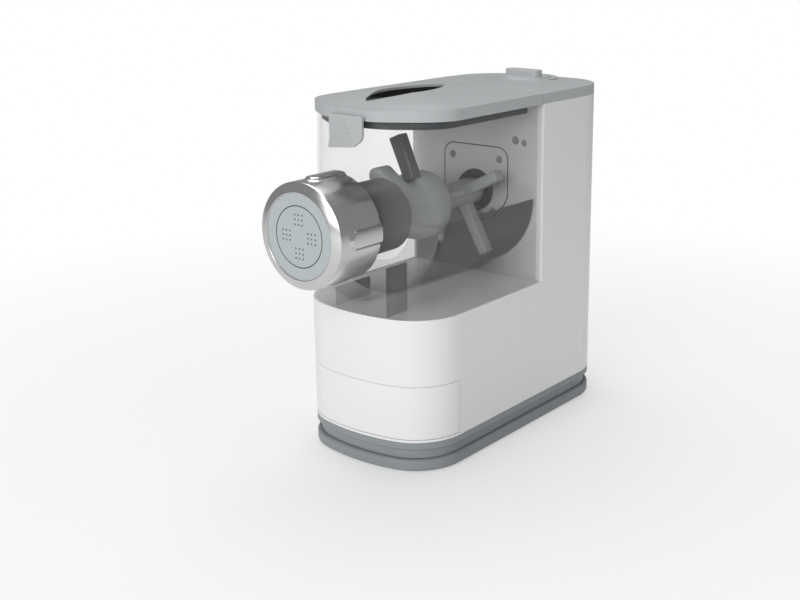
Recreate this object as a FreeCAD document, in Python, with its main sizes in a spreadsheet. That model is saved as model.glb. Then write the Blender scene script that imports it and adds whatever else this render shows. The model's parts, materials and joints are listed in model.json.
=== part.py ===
import FreeCAD, Part
import Sketcher
import math
import os

os.makedirs("parts", exist_ok=True)
V = FreeCAD.Vector
doc = FreeCAD.newDocument("PastaMaker")

# Driving dimensions, millimetres
sheet = doc.addObject("Spreadsheet::Sheet", "Sizes")
SIZES = (
    ("half_width", 67.5),
    ("rear_y", 157.5),
    ("front_side_y", -100.9),
    ("front_bow", 2.9),
    ("corner_r", 42.5),
    ("shell_wall", 2.6),
    ("base_top", 24.8),
    ("band_low", 19.0),
    ("tray_top", 10.5),
    ("foot_lift", 1.2),
    ("foot_r", 8.0),
    ("foot_x", 45.0),
    ("foot_front_y", -58.0),
    ("foot_rear_y", 122.0),
    ("neck_inset", 3.5),
    ("body_h", 96.7),
    ("head_room", 76.8),
    ("tower_y", 52.0),
    ("seam_y", 50.6),
    ("seam_bow", 9.5),
    ("seam_gap", 0.6),
    ("band_h", 8.2),
    ("crest_rise", 7.5),
    ("chamber_inset", 2.0),
    ("chamber_wall", 2.2),
    ("lid_gap", 0.5),
    ("trough_r", 60.0),
    ("trough_lift", 9.0),
    ("slide_gap", 0.3),
    ("tube_r", 33.2),
    ("collar_r", 37.6),
    ("boss_r", 39.0),
    ("tube_bore", 27.5),
    ("disc_depth", 7.5),
    ("tube_reach", 35.8),
    ("nut_gap", 11.4),
    ("nut_len", 44.3),
    ("nut_r", 39.2),
    ("nut_lip_r", 33.4),
    ("nut_bore", 35.6),
    ("lobe_w", 14.0),
    ("lobe_h", 2.0),
    ("lobe_len", 32.0),
    ("disc_face_r", 32.9),
    ("disc_flange_r", 34.9),
    ("disc_hole_r", 0.8),
    ("disc_pitch", 3.5),
    ("disc_group_r", 12.3),
    ("shaft_r", 8.0),
    ("run_gap", 0.05),
    ("hex_r", 5.8),
    ("hub_r", 11.0),
    ("hub_gap", 2.6),
    ("seal_r", 16.5),
    ("drum_r", 27.0),
    ("auger_r", 26.8),
    ("auger_core_r", 13.0),
    ("auger_pitch", 26.0),
    ("blade_r", 54.5),
    ("arm_r", 52.0),
    ("gear_module", 1.5),
    ("gear_teeth", 40),
    ("pinion_teeth", 14),
    ("gear_step", 8.0),
    ("gear_width", 9.0),
    ("motor_r", 27.0),
    ("motor_step", 8.0),
    ("motor_len", 61.0),
    ("rotor_r", 4.0),
    ("drawer_trim", 0.25),
    ("drawer_lift", 2.3),
    ("drawer_h", 42.0),
    ("drawer_gap", 0.35),
    ("drawer_half", 55.0),
    ("drawer_end", 42.0),
    ("drawer_wall", 2.0),
    ("skirt_gap", 1.6),
    ("skirt_drop", 12.3),
    ("slot_y", -36.0),
    ("slot_half_len", 47.0),
    ("slot_half_w", 17.0),
    ("knob_y", 121.2),
    ("knob_ring_r", 29.0),
    ("knob_r", 22.5),
    ("seat_sink", 2.3),
    ("knob_h", 11.4),
    ("latch_half", 16.0),
    ("latch_sink", 4.9),
    ("latch_h", 24.6),
    ("inlet_lift", 27.2),
)
for row, (name, value) in enumerate(SIZES, start=1):
    sheet.set("A%d" % row, name)
    sheet.set("B%d" % row, repr(value))
    sheet.setAlias("B%d" % row, name)
doc.recompute()


class Size:
    """A length that knows both its number and the sheet formula it came from."""

    def __init__(self, value, text):
        self.value = float(value)
        self.text = text

    def __add__(self, other):
        return Size(self.value + num(other), "(%s + %s)" % (self.text, txt(other)))

    def __radd__(self, other):
        return Size(num(other) + self.value, "(%s + %s)" % (txt(other), self.text))

    def __sub__(self, other):
        return Size(self.value - num(other), "(%s - %s)" % (self.text, txt(other)))

    def __rsub__(self, other):
        return Size(num(other) - self.value, "(%s - %s)" % (txt(other), self.text))

    def __mul__(self, other):
        return Size(self.value * num(other), "(%s * %s)" % (self.text, txt(other)))

    def __rmul__(self, other):
        return Size(num(other) * self.value, "(%s * %s)" % (txt(other), self.text))

    def __truediv__(self, other):
        return Size(self.value / num(other), "(%s / %s)" % (self.text, txt(other)))

    def __rtruediv__(self, other):
        return Size(num(other) / self.value, "(%s / %s)" % (txt(other), self.text))

    def __neg__(self):
        return Size(-self.value, "(0 - %s)" % self.text)


def num(q):
    return q.value if isinstance(q, Size) else float(q)


def txt(q):
    return q.text if isinstance(q, Size) else "(%.6f)" % q if q < 0 else "%.6f" % q


def root(q):
    return Size(math.sqrt(q.value), "sqrt(%s)" % q.text)


def bind(obj, prop, q):
    if isinstance(q, Size) and "Sizes." in q.text:
        obj.setExpression(prop, q.text)


S = {name: Size(getattr(sheet, name), "Sizes." + name) for name, value in SIZES}
W = S["half_width"]
REAR = S["rear_y"]
CR = S["corner_r"]
WALL = S["shell_wall"]
S["waist_z"] = S["base_top"] + S["body_h"]
S["axis_z"] = S["waist_z"] + S["trough_r"] + S["trough_lift"]
S["tower_top"] = S["axis_z"] + S["head_room"]
S["band_top"] = S["tower_top"] + S["band_h"]
S["crest_z"] = S["band_top"] + S["crest_rise"]
S["chamber_top"] = S["tower_top"] - S["lid_gap"]
S["drawer_low"] = S["base_top"] + S["drawer_lift"]
S["drawer_high"] = S["drawer_low"] + S["drawer_h"]
S["skirt_low"] = S["tower_top"] - S["skirt_drop"]
S["knob_seat"] = S["band_top"] - S["seat_sink"]
S["knob_top"] = S["knob_seat"] + S["knob_h"]
S["latch_top"] = S["band_top"] - S["latch_sink"]
S["latch_low"] = S["latch_top"] - S["latch_h"]
S["inlet_z"] = S["base_top"] + S["inlet_lift"]
S["front_wall"] = S["front_bow"] - S["front_side_y"] - S["chamber_inset"]
S["tube_inner_end"] = S["front_wall"] - S["tube_reach"]
S["nut_rear"] = S["front_wall"] + S["nut_gap"]
S["nut_front"] = S["nut_rear"] + S["nut_len"]
S["tube_front"] = S["nut_front"] - S["disc_depth"]
S["hub_rear"] = S["tower_y"] - S["hub_gap"]
S["gear_y"] = S["tower_y"] + S["gear_step"]
S["motor_front"] = S["gear_y"] + S["gear_width"] + S["motor_step"]
S["motor_rear"] = S["motor_front"] + S["motor_len"]
AXIS = S["axis_z"]
WAIST = S["waist_z"]
DRAWER_BACK = S["front_side_y"] + CR - S["drawer_trim"]


def plane(body, role):
    return [f for f in body.Origin.OriginFeatures if f.Role == role][0]


def arc_centre(p0, p1, r, ccw):
    mx, my = (p0[0] + p1[0]) / 2.0, (p0[1] + p1[1]) / 2.0
    dx, dy = p1[0] - p0[0], p1[1] - p0[1]
    half = math.hypot(dx, dy) / 2.0
    rise = math.sqrt(max(r * r - half * half, 0.0))
    side = 1.0 if ccw else -1.0
    return mx - side * dy / (2.0 * half) * rise, my + side * dx / (2.0 * half) * rise


def draw(sk, outlines):
    """Closed outlines: each a list of corners, or ("circle", x, y, r)."""
    geo, cons, formulas = [], [], []

    def fix(kind, index, pos, q):
        if kind == "Radius":
            cons.append(Sketcher.Constraint(kind, index, num(q)))
        else:
            cons.append(Sketcher.Constraint(kind, index, pos, num(q)))
        formulas.append((len(cons) - 1, q))

    for path in outlines:
        if path[0] == "circle":
            index = len(geo)
            geo.append(Part.Circle(V(num(path[1]), num(path[2]), 0), V(0, 0, 1), num(path[3])))
            fix("DistanceX", index, 3, path[1])
            fix("DistanceY", index, 3, path[2])
            fix("Radius", index, 0, path[3])
            continue
        first = len(geo)
        ends = []
        for k, corner in enumerate(path):
            nxt = path[(k + 1) % len(path)]
            p0 = (num(corner[0]), num(corner[1]))
            p1 = (num(nxt[0]), num(nxt[1]))
            if len(nxt) == 2:
                geo.append(Part.LineSegment(V(p0[0], p0[1], 0), V(p1[0], p1[1], 0)))
                ends.append((1, 2, None))
                continue
            r, ccw = num(nxt[2]), nxt[3]
            cx, cy = arc_centre(p0, p1, r, ccw)
            a0 = math.atan2(p0[1] - cy, p0[0] - cx)
            a1 = math.atan2(p1[1] - cy, p1[0] - cx)
            if not ccw:
                a0, a1 = a1, a0
            if a1 < a0:
                a1 += 2.0 * math.pi
            circle = Part.Circle(V(cx, cy, 0), V(0, 0, 1), r)
            geo.append(Part.ArcOfCircle(circle, a0, a1))
            ends.append((1, 2, nxt[2]) if ccw else (2, 1, nxt[2]))
        count = len(path)
        for k, corner in enumerate(path):
            here, nxt = first + k, first + (k + 1) % count
            cons.append(Sketcher.Constraint("Coincident", here, ends[k][1], nxt, ends[(k + 1) % count][0]))
            fix("DistanceX", here, ends[k][0], corner[0])
            fix("DistanceY", here, ends[k][0], corner[1])
            if ends[k][2] is not None:
                fix("Radius", here, 0, ends[k][2])
    sk.addGeometry(geo, False)
    sk.addConstraint(cons)
    for index, q in formulas:
        bind(sk, "Constraints[%d]" % index, q)


def sketch(body, name, role, outlines, at=0.0):
    sk = body.newObject("Sketcher::SketchObject", name)
    sk.AttachmentSupport = [(plane(body, role), "")]
    sk.MapMode = "FlatFace"
    sign = -1.0 if role == "XZ_Plane" else 1.0
    shift = sign * at if isinstance(at, Size) else sign * float(at)
    sk.AttachmentOffset = FreeCAD.Placement(V(0, 0, num(shift)), FreeCAD.Rotation())
    bind(sk, "AttachmentOffset.Base.z", shift)
    draw(sk, outlines)
    return sk


def feature(body, kind, name, sk, length, back=False, mid=False):
    f = body.newObject("PartDesign::" + kind, name)
    f.Profile = sk
    f.Length = num(length)
    bind(f, "Length", length)
    if mid:
        f.Midplane = True
    f.Reversed = back
    return f


def pad(body, name, role, outlines, length, at=0.0, back=False, mid=False):
    return feature(body, "Pad", name, sketch(body, name + "Sketch", role, outlines, at), length, back, mid)


def pocket(body, name, role, outlines, length, at=0.0, back=False, mid=False):
    return feature(body, "Pocket", name, sketch(body, name + "Sketch", role, outlines, at), length, back, mid)


def revolve(body, name, outlines, kind="Revolution"):
    f = body.newObject("PartDesign::" + kind, name)
    sk = sketch(body, name + "Sketch", "XZ_Plane", outlines)
    f.Profile = sk
    f.ReferenceAxis = (sk, ["V_Axis"])
    f.Angle = 360.0
    return f


def polar(body, name, originals, count, angle=360.0):
    f = body.newObject("PartDesign::PolarPattern", name)
    f.Originals = originals
    f.Axis = (plane(body, "Z_Axis"), [""])
    f.Angle = angle
    f.Occurrences = count
    body.Tip = f
    return f


NODES = []


def new_body(label, node=True):
    body = doc.addObject("PartDesign::Body", label)
    body.Label = label
    if node:
        NODES.append(body)
    return body


def on_axis(body):
    """Turned parts are drawn about local Z, which points forward along the drive axis."""
    body.Placement = FreeCAD.Placement(V(0, 0, AXIS.value), FreeCAD.Rotation(V(1, 0, 0), 90))
    bind(body, "Placement.Base.z", AXIS)


def boolean(kind, label, base, tool, node=True):
    f = doc.addObject("Part::" + kind, label)
    f.Label = label
    f.Base = base
    f.Tool = tool
    if node:
        NODES.append(f)
    return f


def rect(x0, y0, x1, y1):
    return [(x0, y0), (x1, y0), (x1, y1), (x0, y1)]


def round_rect(x0, y0, x1, y1, r):
    return [(x0 + r, y0, r, True), (x1 - r, y0), (x1, y0 + r, r, True), (x1, y1 - r),
            (x1 - r, y1, r, True), (x0 + r, y1), (x0, y1 - r, r, True), (x0, y0 + r)]


# Plan outline of the machine: straight sides, round corners, bowed front
def plan(inset=0.0, low=None, high=None, nose=None, half=None, rear=None, front=None, r=None, bow=None):
    half = W if half is None else half
    rear = REAR if rear is None else rear
    front = S["front_side_y"] if front is None else front
    r = CR if r is None else r
    bow = S["front_bow"] if bow is None else bow
    a = half - r
    reach = bow + r
    big = (a * a + reach * reach - r * r) / (2.0 * bow)
    cy = front - bow + big
    corner_y = front + r
    ratio = (big - inset) / (big - r)
    tx = a * ratio
    ty = cy + (corner_y - cy) * ratio
    w = half - inset
    rr = r - inset
    br = big - inset
    yr = rear - inset
    back_y = rear - r
    if low is not None:
        return [(a, yr, rr, True), (-a, yr), (-w, back_y, rr, True), (-w, low), (w, low), (w, back_y)]
    if nose is not None:
        drop = corner_y - nose
        xh = a + root(rr * rr - drop * drop)
        return [(xh, nose, rr, True), (-xh, nose), (-tx, ty, rr, True), (tx, ty, br, True)]
    if high is not None:
        return [(w, high), (-w, high), (-w, corner_y), (-tx, ty, rr, True), (tx, ty, br, True),
                (w, corner_y, rr, True)]
    return [(a, yr, rr, True), (-a, yr), (-w, back_y, rr, True), (-w, corner_y), (-tx, ty, rr, True),
            (tx, ty, br, True), (w, corner_y, rr, True), (w, back_y)]


# White one-piece housing: low front, tall rear tower
shell = new_body("housing_shell")
pad(shell, "ShellBlock", "XY_Plane", [plan()], S["tower_top"] - S["base_top"], at=S["base_top"])
high_cut = [(S["front_side_y"] - 40.0, WAIST), (S["tower_y"], WAIST),
            (S["tower_y"], S["tower_top"] + 10.0), (S["front_side_y"] - 40.0, S["tower_top"] + 10.0)]
pocket(shell, "ChamberBay", "YZ_Plane", [high_cut], 4.0 * W, mid=True)
pocket(shell, "LowHollow", "XY_Plane", [plan(WALL)], WAIST - WALL - S["base_top"], at=WAIST - WALL)
pocket(shell, "TowerHollow", "XY_Plane", [plan(WALL, low=S["tower_y"] + WALL)],
       S["tower_top"] - WAIST + WALL + 1.0, at=S["tower_top"] + 0.5)
drawer_cut = rect(-2.0 * W, S["front_side_y"] - 40.0, 2.0 * W, DRAWER_BACK + S["drawer_gap"])
pocket(shell, "DrawerMouth", "XY_Plane", [drawer_cut],
       S["drawer_high"] - S["drawer_low"] + 2.0 * S["drawer_gap"], at=S["drawer_high"] + S["drawer_gap"])
pocket(shell, "DriveHole", "XZ_Plane", [("circle", 0.0, AXIS, S["seal_r"] + S["run_gap"])],
       WALL + 2.0, at=S["tower_y"] - 1.0)
plate_r = 10.0
plate_hw = 33.0
plate_low = AXIS - 26.0
plate_high = AXIS + 38.0


def plate_outline(grow):
    hw = plate_hw + grow
    top = plate_high + grow
    low = plate_low - grow
    rc = plate_r + grow
    bend = AXIS - 2.0
    bottom_r = (hw * hw + (bend - low) * (bend - low)) / (2.0 * (bend - low))
    return [(-hw, bend), (hw, bend, bottom_r, True), (hw, top - rc), (hw - rc, top, rc, True),
            (-hw + rc, top), (-hw, top - rc, rc, True)]


pocket(shell, "PlateSeat", "XZ_Plane", [plate_outline(0.15)], 1.4, at=S["tower_y"])
slot_w = 46.0
vent_low = S["tower_top"] - 57.3
vent = rect(-slot_w / 2, vent_low, slot_w / 2, vent_low + 3.0)
vent_cut = pocket(shell, "Vent", "XZ_Plane", [vent], WALL + 4.0, at=REAR - WALL - 2.0)
rows_of_vents = shell.newObject("PartDesign::LinearPattern", "VentRows")
rows_of_vents.Originals = [vent_cut]
rows_of_vents.Direction = (plane(shell, "Z_Axis"), [""])
rows_of_vents.Length = 42.0
rows_of_vents.Occurrences = 8
shell.Tip = rows_of_vents
inlet_hw = 13.0
inlet_hh = 8.0
pocket(shell, "InletHole", "XZ_Plane",
       [rect(-inlet_hw, S["inlet_z"] - inlet_hh, inlet_hw, S["inlet_z"] + inlet_hh)],
       WALL + 4.0, at=REAR - WALL - 2.0)

# Rear inlet: a flanged box with an open recess and two pins
inlet = new_body("power_inlet")
depth = 16.0
pad(inlet, "InletBox", "XZ_Plane",
    [rect(-inlet_hw + 0.1, S["inlet_z"] - inlet_hh + 0.1, inlet_hw - 0.1, S["inlet_z"] + inlet_hh - 0.1)],
    depth + WALL, at=REAR)
pocket(inlet, "InletRecess", "XZ_Plane",
       [round_rect(-10.0, S["inlet_z"] - 5.4, 10.0, S["inlet_z"] + 5.4, 5.3)], depth, at=REAR, back=True)
pad(inlet, "InletPins", "XZ_Plane", [("circle", -4.3, S["inlet_z"], 1.2), ("circle", 4.3, S["inlet_z"], 1.2)],
    depth - 4.0, at=REAR - depth, back=True)

# Gray base: upper band with its neck, lower tray, rubber feet
frame = new_body("base_frame")
pad(frame, "UpperBand", "XY_Plane", [plan()], S["base_top"] - S["band_low"], at=S["band_low"])
pad(frame, "Neck", "XY_Plane", [plan(S["neck_inset"])], S["band_low"] - S["tray_top"], at=S["tray_top"])
pocket(frame, "FrameHollow", "XY_Plane", [plan(S["neck_inset"] + WALL)],
       S["base_top"] - S["tray_top"] + 2.0, at=S["base_top"] + 1.0)

tray = new_body("base_tray")
tray_pad = pad(tray, "TrayBlock", "XY_Plane", [plan()], S["tray_top"] - S["foot_lift"], at=S["foot_lift"])
tray_edge = tray.newObject("PartDesign::Chamfer", "TrayEdge")
doc.recompute()
rim = [f for f in range(1, len(tray_pad.Shape.Faces) + 1)
       if abs(tray_pad.Shape.Faces[f - 1].normalAt(0, 0).z) > 0.99]
tray_edge.Base = (tray_pad, ["Face%d" % f for f in rim])
tray_edge.Size = 1.4
pocket(tray, "TrayHollow", "XY_Plane", [plan(S["neck_inset"] + WALL)],
       S["tray_top"] - S["foot_lift"] - 2.4, at=S["tray_top"])
foot_spots = ((1, S["foot_front_y"]), (-1, S["foot_front_y"]), (1, S["foot_rear_y"]), (-1, S["foot_rear_y"]))
pocket(tray, "FootSeats", "XY_Plane",
       [("circle", side * S["foot_x"], y, S["foot_r"]) for side, y in foot_spots],
       1.2, at=S["foot_lift"], back=True)
air = [rect(-22.0, S["tower_y"] - 28.0 + k * 9.0, 22.0, S["tower_y"] - 24.0 + k * 9.0) for k in range(4)]
pocket(tray, "TrayAir", "XY_Plane", air, 6.0, at=S["foot_lift"] - 1.0, back=True)
for k, (side, y) in enumerate(foot_spots):
    foot = new_body("rubber_foot_%d" % (k + 1))
    pad(foot, "Foot%d" % k, "XY_Plane", [("circle", side * S["foot_x"], y, S["foot_r"])],
        S["foot_lift"] + 1.2)


# Domed top shared by lid and rear cap
DOME = ((0.0, 0.8, 0.0), (1.5, 7.1, 31.5), (3.5, 18.2, 68.0), (5.5, 32.6, 108.0), (7.0, 45.0, 135.0))


def dome(body, bottom):
    pad(body, "Band", "XY_Plane", [plan()], S["band_top"] - bottom, at=bottom)
    sections = []
    for rise, inset, back in DOME:
        z = S["band_top"] + S["crest_rise"] * (rise / 7.5)
        half = W - inset
        r = CR - min(inset, 34.0)
        path = plan(half=half, rear=REAR - back - inset * 0.3, front=S["front_side_y"] + inset * 1.15,
                    r=r, bow=S["front_bow"])
        sections.append(sketch(body, "Dome%d" % len(sections), "XY_Plane", [path], z))
    f = body.newObject("PartDesign::AdditiveLoft", "DomeLoft")
    f.Profile = sections[0]
    f.Sections = sections[1:]
    f.Ruled = True
    return f


SEAM_R = (W * W + S["seam_bow"] * S["seam_bow"]) / (2.0 * S["seam_bow"])
SEAM_CY = S["seam_y"] - S["seam_bow"] + SEAM_R


def seam_at(x):
    """Where the bowed seam between lid and cap lies at a distance x from the middle."""
    return SEAM_CY - root(SEAM_R * SEAM_R - x * x)


half_gap = S["seam_gap"] / 2.0
seam_x = W + 4.0
cap = new_body("top_cap")
dome(cap, S["tower_top"])
pocket(cap, "CapCut", "XY_Plane",
       [[(-seam_x, S["front_side_y"] - 40.0), (seam_x, S["front_side_y"] - 40.0),
         (seam_x, seam_at(seam_x) + half_gap), (-seam_x, seam_at(seam_x) + half_gap, SEAM_R, False)]],
       60.0, at=S["crest_z"] + 10.0)
pocket(cap, "CapHollow", "XY_Plane", [plan(WALL + 1.0, low=S["seam_y"] + S["seam_gap"] / 2.0 + 9.4)],
       S["knob_seat"] - 2.4 - S["tower_top"], at=S["tower_top"], back=True)
pocket(cap, "KnobSeat", "XY_Plane", [("circle", 0.0, S["knob_y"], S["knob_ring_r"] + S["run_gap"])], 20.0,
       at=S["knob_seat"] + 20.0)
pocket(cap, "StemHole", "XY_Plane", [("circle", 0.0, S["knob_y"], 4.6)], 20.0, at=S["knob_seat"] + 1.0)
tongue_x = Size(34.0, "34.0")
tongue_hw = 6.0
lid_bottom = S["chamber_top"] + S["slide_gap"]
for side in (-1, 1):
    pocket(cap, "TongueSeat%d" % (side + 1), "XZ_Plane",
           [rect(side * tongue_x - tongue_hw - 0.6, lid_bottom + 1.8, side * tongue_x + tongue_hw + 0.6,
                 lid_bottom + 9.6)], 11.0, at=seam_at(tongue_x) - 3.5)

ring = new_body("knob_ring")
pad(ring, "RingBlock", "XY_Plane", [("circle", 0.0, S["knob_y"], S["knob_ring_r"])], 4.9, at=S["knob_seat"])
pocket(ring, "RingBore", "XY_Plane", [("circle", 0.0, S["knob_y"], S["knob_r"] + 0.4)], 4.0,
       at=S["knob_seat"] + 4.9)
pocket(ring, "RingStem", "XY_Plane", [("circle", 0.0, S["knob_y"], 4.6)], 10.0, at=S["knob_seat"] + 5.0)

knob = new_body("selector_knob")
knob_low = S["knob_seat"] + 1.2
pad(knob, "KnobDisc", "XY_Plane", [("circle", 0.0, S["knob_y"], S["knob_r"])], 4.4, at=knob_low)
pad(knob, "KnobGrip", "XY_Plane",
    [round_rect(-17.5, S["knob_y"] - 6.0, 17.5, S["knob_y"] + 6.0, 5.8)],
    S["knob_top"] - knob_low, at=knob_low)
stem_r = Size(4.0, "4.0")
pad(knob, "KnobStem", "XY_Plane", [("circle", 0.0, S["knob_y"], stem_r)], 15.0, at=knob_low, back=True)

switch = new_body("selector_switch")
pad(switch, "SwitchBlock", "XY_Plane", [rect(-14.0, S["knob_y"] - 14.0, 14.0, S["knob_y"] + 14.0)], 13.0,
    at=knob_low - 16.8)
pocket(switch, "SwitchBore", "XY_Plane", [("circle", 0.0, S["knob_y"], stem_r + S["run_gap"])], 12.0,
       at=knob_low - 3.8)
board = new_body("control_board")
pad(board, "Board", "XY_Plane", [rect(-40.0, S["tower_y"] + 16.0, 40.0, S["knob_y"] + 20.0)], 1.6,
    at=knob_low - 18.4)

# Lid: domed panel with a boat-shaped pouring slot, two rear tongues
lid = new_body("lid_panel")
dome(lid, lid_bottom)
pocket(lid, "LidCut", "XY_Plane",
       [[(-seam_x, seam_at(seam_x) - half_gap), (seam_x, seam_at(seam_x) - half_gap, SEAM_R, True),
         (seam_x, REAR + 40.0), (-seam_x, REAR + 40.0)]],
       60.0, at=S["crest_z"] + 10.0)
pocket(lid, "LidHollow", "XY_Plane", [plan(WALL + 1.0, high=S["seam_y"] - S["seam_bow"] - WALL - 1.0)],
       S["band_top"] - 2.6 - lid_bottom, at=lid_bottom, back=True)
lens_r = (S["slot_half_len"] * S["slot_half_len"] + S["slot_half_w"] * S["slot_half_w"]) / (
    2.0 * S["slot_half_w"])
lens = [(0.0, S["slot_y"] - S["slot_half_len"], lens_r, True),
        (0.0, S["slot_y"] + S["slot_half_len"], lens_r, True)]
pocket(lid, "PourSlot", "XY_Plane", [lens], 60.0, at=S["crest_z"] + 10.0)
for side in (-1, 1):
    pad(lid, "Tongue%d" % (side + 1), "XZ_Plane",
        [rect(side * tongue_x - tongue_hw, lid_bottom + 3.5, side * tongue_x + tongue_hw, lid_bottom + 6.3)],
        9.0, at=seam_at(tongue_x) + 5.0)

skirt = new_body("lid_skirt")
skirt_out = S["chamber_inset"] + S["chamber_wall"] + S["skirt_gap"]
pad(skirt, "SkirtBlock", "XY_Plane", [plan(skirt_out, high=S["seam_y"] - S["seam_bow"] - WALL - 1.4)],
    S["band_top"] - 2.6 - S["skirt_low"], at=S["skirt_low"])
pocket(skirt, "SkirtHollow", "XY_Plane", [plan(skirt_out + 2.0, high=S["seam_y"] - S["seam_bow"] - WALL - 3.4)], 60.0,
       at=S["band_top"])

latch = new_body("lid_latch")
tab_y = S["front_side_y"] - S["front_bow"]
tab = [(tab_y - 0.3, S["latch_top"]), (tab_y - 0.3, S["latch_low"] + 4.0),
       (tab_y - 4.2, S["latch_low"]), (tab_y - 5.8, S["latch_low"]),
       (tab_y - 3.2, S["latch_low"] + 6.0), (tab_y - 2.8, S["latch_top"])]
pad(latch, "Tab", "YZ_Plane", [tab], 2.0 * S["latch_half"], mid=True)
lh = S["latch_half"]
lb = S["latch_low"]
for side in (-1.0, 1.0):
    corner = [(side * lh, lb + 8.0), (side * (lh - 8.0), lb, 8.0, side < 0),
              (side * (lh - 8.0), lb - 3.0), (side * (lh + 3.0), lb - 3.0), (side * (lh + 3.0), lb + 8.0)]
    pocket(latch, "Corner%d" % (side + 1.0), "XZ_Plane", [corner], 12.0, at=tab_y - 8.0)

# Clear mixing chamber: outer walls, round trough inside, open top
outer = new_body("ChamberOuter", node=False)
chamber_low = WAIST + S["slide_gap"]
chamber_rear = S["tower_y"] - 0.8
CI = S["chamber_inset"]
CW = S["chamber_wall"]
pad(outer, "OuterBlock", "XY_Plane", [plan(CI, high=chamber_rear)],
    S["chamber_top"] - chamber_low, at=chamber_low)
column = new_body("ChamberColumn", node=False)
pad(column, "ColumnBlock", "XY_Plane", [plan(CI + CW, high=chamber_rear - CW)],
    S["chamber_top"] - chamber_low + 4.0, at=chamber_low - 2.0)


def trough_outline(r, top, half):
    return [(half, top), (-half, top), (-half, AXIS), (-r, AXIS), (0.0, AXIS - r, r, True),
            (r, AXIS, r, True), (half, AXIS)]


upper = new_body("TroughSpace", node=False)
pad(upper, "TroughProfile", "XZ_Plane", [trough_outline(S["trough_r"], S["chamber_top"] + 5.0, W)],
    2.0 * REAR, at=REAR)
lower = new_body("TroughSkin", node=False)
pad(lower, "SkinProfile", "XZ_Plane",
    [trough_outline(S["trough_r"] + CW, S["chamber_top"] + 6.0, W + 2.0)], 2.0 * REAR + 4.0, at=REAR + 2.0)
hollow = boolean("Common", "ChamberHollow", column, upper, node=False)
under = boolean("Cut", "ChamberUnder", column, lower, node=False)
boss = new_body("ChamberBoss", node=False)
on_axis(boss)
front_wall = S["front_wall"]
pad(boss, "BossPad", "XY_Plane", [("circle", 0.0, 0.0, S["boss_r"])], 16.0, at=front_wall - 16.0)
bossed = boolean("Fuse", "ChamberBossed", outer, boss, node=False)
walls = boolean("Cut", "ChamberWalls", bossed, hollow, node=False)
walls2 = boolean("Cut", "ChamberWallsOpen", walls, under, node=False)
bores = new_body("FrontBore", node=False)
on_axis(bores)
pad(bores, "FrontBorePad", "XY_Plane", [("circle", 0.0, 0.0, S["tube_bore"] + 2.0)], 60.0, at=60.0)
rear_bore = new_body("RearBore", node=False)
on_axis(rear_bore)
pad(rear_bore, "RearBorePad", "XY_Plane", [("circle", 0.0, 0.0, S["seal_r"] + 0.6)], 30.0, at=-70.0)
walls3 = boolean("Cut", "ChamberFrontHole", walls2, bores, node=False)
chamber = boolean("Cut", "mixing_chamber", walls3, rear_bore)

# Extrusion tube in the chamber front
tube = new_body("extrusion_tube")
on_axis(tube)
tr = S["tube_r"]
tb = S["tube_bore"]
revolve(tube, "TubeProfile", [[
    (tb, S["tube_inner_end"]), (tb + 1.9, S["tube_inner_end"]), (tb + 1.9, front_wall + 0.1),
    (S["collar_r"], front_wall + 0.1), (S["collar_r"], S["nut_rear"] - 0.7), (tr, S["nut_rear"] - 0.7),
    (tr, S["tube_front"]), (tb, S["tube_front"])]])

# Shaping disc and threaded nut
disc = new_body("shaping_disc")
on_axis(disc)
fr = S["disc_face_r"]
fl = S["disc_flange_r"]
seat = S["tube_front"] + 0.2
revolve(disc, "DiscProfile", [[
    (0.0, seat), (fl, seat), (fl, seat + 2.0), (fr, seat + 2.0), (fr, S["nut_front"] - 1.0),
    (0.0, S["nut_front"] - 1.0)]])
pit = S["disc_pitch"]
eighths = [(math.cos(math.pi * (k + 0.5) / 4.0), math.sin(math.pi * (k + 0.5) / 4.0)) for k in range(8)]
holes = [[(S["disc_group_r"] + i * pit + S["disc_hole_r"] * c, j * pit + S["disc_hole_r"] * s) for c, s in eighths]
         for i in (-1, 0, 1) for j in (-1, 0, 1)]
disc_holes = pocket(disc, "DieHoles", "XY_Plane", holes, 9.0, at=S["nut_front"])
polar(disc, "DieGroups", [disc_holes], 4)

nut = new_body("clamp_nut")
on_axis(nut)
nr = S["nut_r"]
lip = S["nut_lip_r"]
nb = S["nut_bore"]
shoulder = seat + 2.3
nut_body = revolve(nut, "NutProfile", [[
    (nb, S["nut_rear"]), (nr, S["nut_rear"]), (nr, S["nut_front"] - 1.4),
    (nr - 1.4, S["nut_front"]), (lip, S["nut_front"]), (lip, shoulder), (nb, shoulder)]])
lw = S["lobe_w"] / 2.0
lobe_end = S["nut_rear"] + S["lobe_len"]
lobe = [(-lw, S["nut_rear"]), (lw, S["nut_rear"]), (lw, lobe_end - lw),
        (0.0, lobe_end, lw, True), (-lw, lobe_end - lw, lw, True)]
lobe_pad = pad(nut, "Lobe", "YZ_Plane", [lobe], S["lobe_h"] + 2.0, at=nr - 2.0)
polar(nut, "Lobes", [lobe_pad], 4)

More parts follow.
